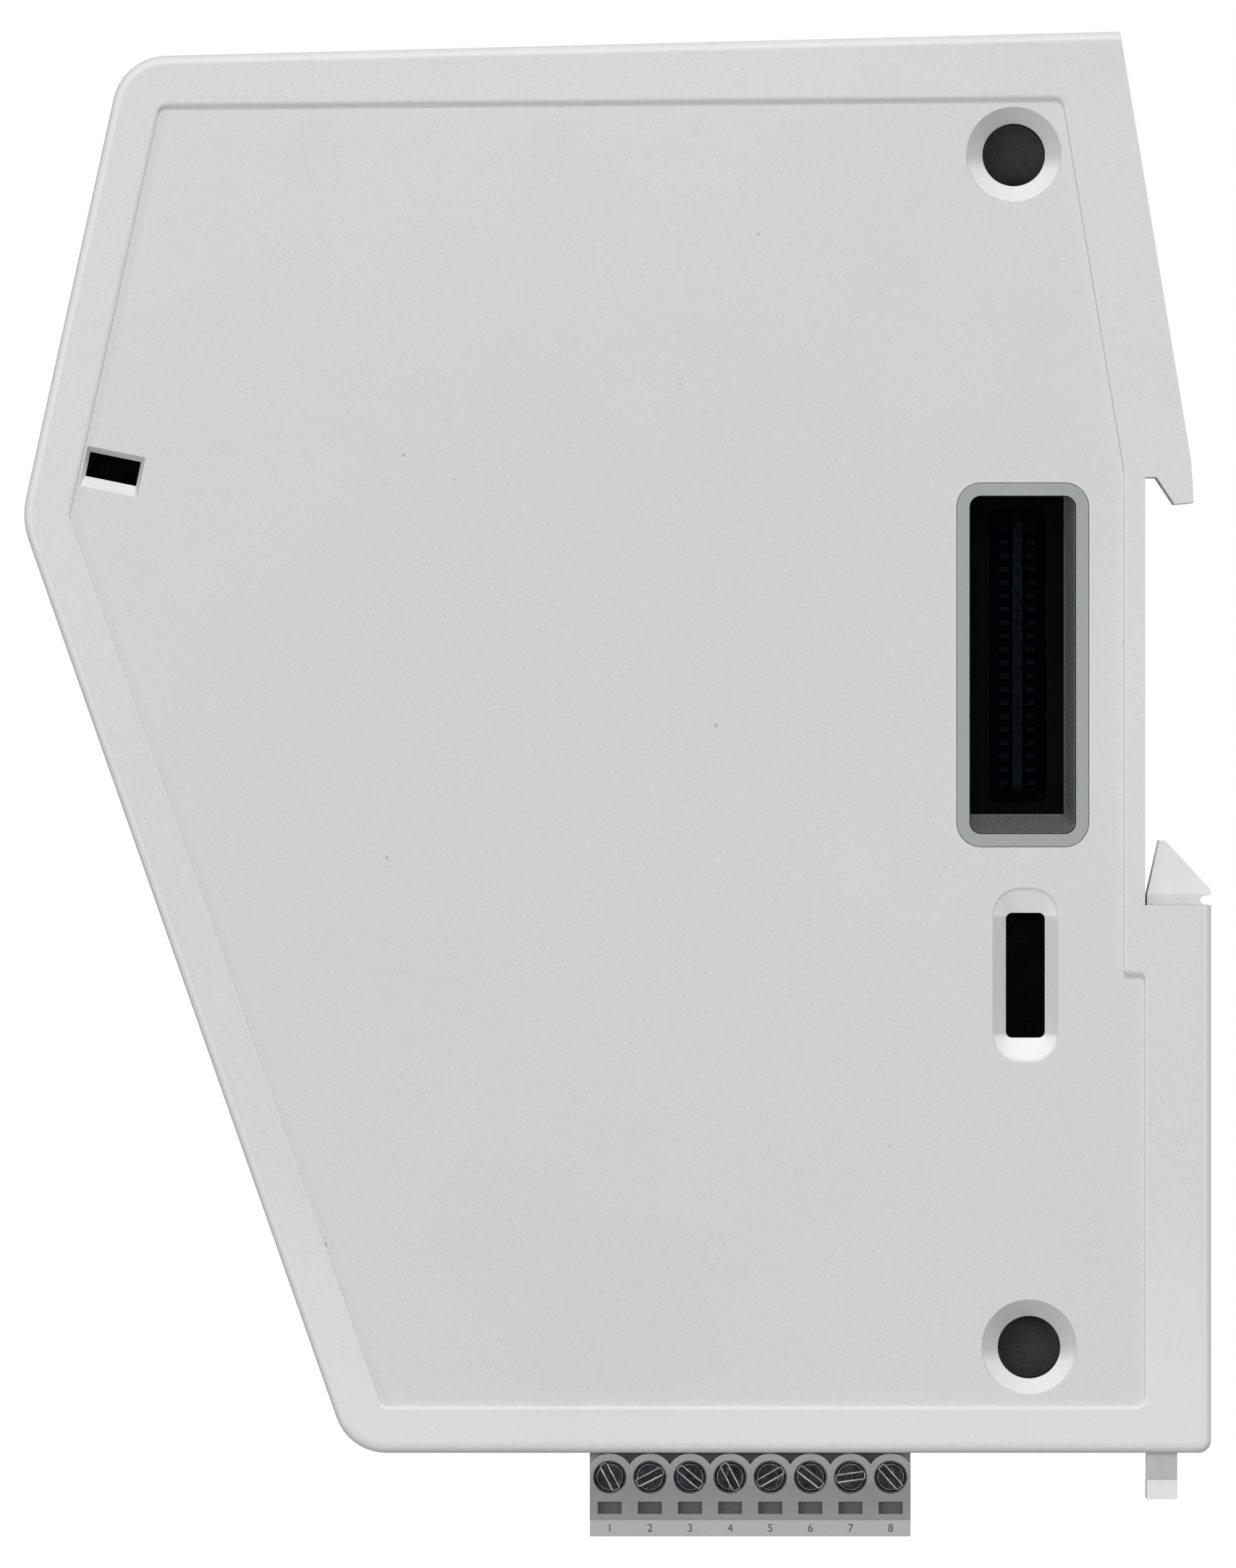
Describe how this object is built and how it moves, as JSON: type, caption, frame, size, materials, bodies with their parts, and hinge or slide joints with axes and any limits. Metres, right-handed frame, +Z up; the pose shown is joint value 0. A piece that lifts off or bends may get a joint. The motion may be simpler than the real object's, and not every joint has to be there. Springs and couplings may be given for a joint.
{
  "type": "electronics module enclosure",
  "caption": "Flat plastic enclosure that hangs on a mounting rail, with a sliding latch, a framed bus window in its side and a plug-in screw terminal below.",
  "frame": {"origin": "on the wall that lies against the rail, at the rail's centre line, half way through the width", "axes": "+X from the module's front towards the rail, +Y from its near side face to the far one, +Z up"},
  "size_m": [0.1126, 0.0226, 0.1428],
  "materials": {
    "housing": "light grey plastic with a fine moulded grain",
    "window_frame": "grey plastic, faintly greenish, fine grain",
    "black_plastic": "black connector plastic",
    "contact_metal": "plated contact metal",
    "circuit_board": "laminate with a black lacquer",
    "package": "dark moulded package",
    "can_metal": "drawn aluminium can",
    "clear_plastic": "clear moulded plastic",
    "lamp_plastic": "pale lamp body",
    "terminal_plastic": "mid grey terminal plastic",
    "marker_plastic": "lighter grey strip",
    "latch_plastic": "pale grey sliding plastic",
    "spring_steel": "drawn spring wire",
    "screw_steel": "plated screw with a slotted head",
    "cage_steel": "pressed and plated cage"
  },
  "bodies": {
    "case": {"case_shell_near": "housing", "case_shell_far": "housing", "bus_window_frame": "window_frame", "bus_socket_body": "black_plastic", "bus_socket_contacts": "contact_metal", "main_board": "circuit_board", "controller_chip": "package", "supply_converter": "package", "storage_capacitors": "can_metal", "signal_isolators": "package", "light_guide": "clear_plastic", "status_lamps": "lamp_plastic", "terminal_header": "terminal_plastic", "header_pins": "contact_metal", "latch_spring": "spring_steel"},
    "plug": {"terminal_plug_body": "terminal_plastic", "terminal_marker_strip": "marker_plastic", "plug_contacts": "contact_metal"},
    "latch": {"rail_latch": "latch_plastic"},
    "screw_1": {"clamp_screw_1": "screw_steel"},
    "cage_1": {"clamp_cage_1": "cage_steel"},
    "screw_2": {"clamp_screw_2": "screw_steel"},
    "cage_2": {"clamp_cage_2": "cage_steel"},
    "screw_3": {"clamp_screw_3": "screw_steel"},
    "cage_3": {"clamp_cage_3": "cage_steel"},
    "screw_4": {"clamp_screw_4": "screw_steel"},
    "cage_4": {"clamp_cage_4": "cage_steel"},
    "screw_5": {"clamp_screw_5": "screw_steel"},
    "cage_5": {"clamp_cage_5": "cage_steel"},
    "screw_6": {"clamp_screw_6": "screw_steel"},
    "cage_6": {"clamp_cage_6": "cage_steel"},
    "screw_7": {"clamp_screw_7": "screw_steel"},
    "cage_7": {"clamp_cage_7": "cage_steel"},
    "screw_8": {"clamp_screw_8": "screw_steel"},
    "cage_8": {"clamp_cage_8": "cage_steel"}
  },
  "joints": [
    {"name": "latch_slide", "type": "slide", "parent": "case", "child": "latch", "axis": [0, 0, -1], "range_m": [0, 0.003], "stiffness_N_per_m": 1800, "springref_m": -0.0042, "deforming": ["latch_spring"]},
    {"name": "plug_slide", "type": "slide", "parent": "case", "child": "plug", "axis": [0, 0, -1], "range_m": [0, 0.012]},
    {"name": "screw_1_turn", "type": "hinge", "parent": "plug", "child": "screw_1", "pos_m": [-0.05078, -0.0063, -0.0774], "axis": [0, 1, 0], "range_deg": [0, 1440]},
    {"name": "cage_1_rise", "type": "slide", "parent": "plug", "child": "cage_1", "axis": [0, -1, 0], "range_m": [0, 0.0016]},
    {"name": "screw_2_turn", "type": "hinge", "parent": "plug", "child": "screw_2", "pos_m": [-0.04698, -0.0063, -0.0774], "axis": [0, 1, 0], "range_deg": [0, 1440]},
    {"name": "cage_2_rise", "type": "slide", "parent": "plug", "child": "cage_2", "axis": [0, -1, 0], "range_m": [0, 0.0016]},
    {"name": "screw_3_turn", "type": "hinge", "parent": "plug", "child": "screw_3", "pos_m": [-0.04317, -0.0063, -0.0774], "axis": [0, 1, 0], "range_deg": [0, 1440]},
    {"name": "cage_3_rise", "type": "slide", "parent": "plug", "child": "cage_3", "axis": [0, -1, 0], "range_m": [0, 0.0016]},
    {"name": "screw_4_turn", "type": "hinge", "parent": "plug", "child": "screw_4", "pos_m": [-0.03936, -0.0063, -0.0774], "axis": [0, 1, 0], "range_deg": [0, 1440]},
    {"name": "cage_4_rise", "type": "slide", "parent": "plug", "child": "cage_4", "axis": [0, -1, 0], "range_m": [0, 0.0016]},
    {"name": "screw_5_turn", "type": "hinge", "parent": "plug", "child": "screw_5", "pos_m": [-0.03555, -0.0063, -0.0774], "axis": [0, 1, 0], "range_deg": [0, 1440]},
    {"name": "cage_5_rise", "type": "slide", "parent": "plug", "child": "cage_5", "axis": [0, -1, 0], "range_m": [0, 0.0016]},
    {"name": "screw_6_turn", "type": "hinge", "parent": "plug", "child": "screw_6", "pos_m": [-0.03173, -0.0063, -0.0774], "axis": [0, 1, 0], "range_deg": [0, 1440]},
    {"name": "cage_6_rise", "type": "slide", "parent": "plug", "child": "cage_6", "axis": [0, -1, 0], "range_m": [0, 0.0016]},
    {"name": "screw_7_turn", "type": "hinge", "parent": "plug", "child": "screw_7", "pos_m": [-0.02792, -0.0063, -0.0774], "axis": [0, 1, 0], "range_deg": [0, 1440]},
    {"name": "cage_7_rise", "type": "slide", "parent": "plug", "child": "cage_7", "axis": [0, -1, 0], "range_m": [0, 0.0016]},
    {"name": "screw_8_turn", "type": "hinge", "parent": "plug", "child": "screw_8", "pos_m": [-0.02412, -0.0063, -0.0774], "axis": [0, 1, 0], "range_deg": [0, 1440]},
    {"name": "cage_8_rise", "type": "slide", "parent": "plug", "child": "cage_8", "axis": [0, -1, 0], "range_m": [0, 0.0016]}
  ],
  "couplings": [
    {"joint": "screw_1_turn", "follows": "cage_1_rise", "rad_per_m": 15708},
    {"joint": "screw_2_turn", "follows": "cage_2_rise", "rad_per_m": 15708},
    {"joint": "screw_3_turn", "follows": "cage_3_rise", "rad_per_m": 15708},
    {"joint": "screw_4_turn", "follows": "cage_4_rise", "rad_per_m": 15708},
    {"joint": "screw_5_turn", "follows": "cage_5_rise", "rad_per_m": 15708},
    {"joint": "screw_6_turn", "follows": "cage_6_rise", "rad_per_m": 15708},
    {"joint": "screw_7_turn", "follows": "cage_7_rise", "rad_per_m": 15708},
    {"joint": "screw_8_turn", "follows": "cage_8_rise", "rad_per_m": 15708}
  ]
}
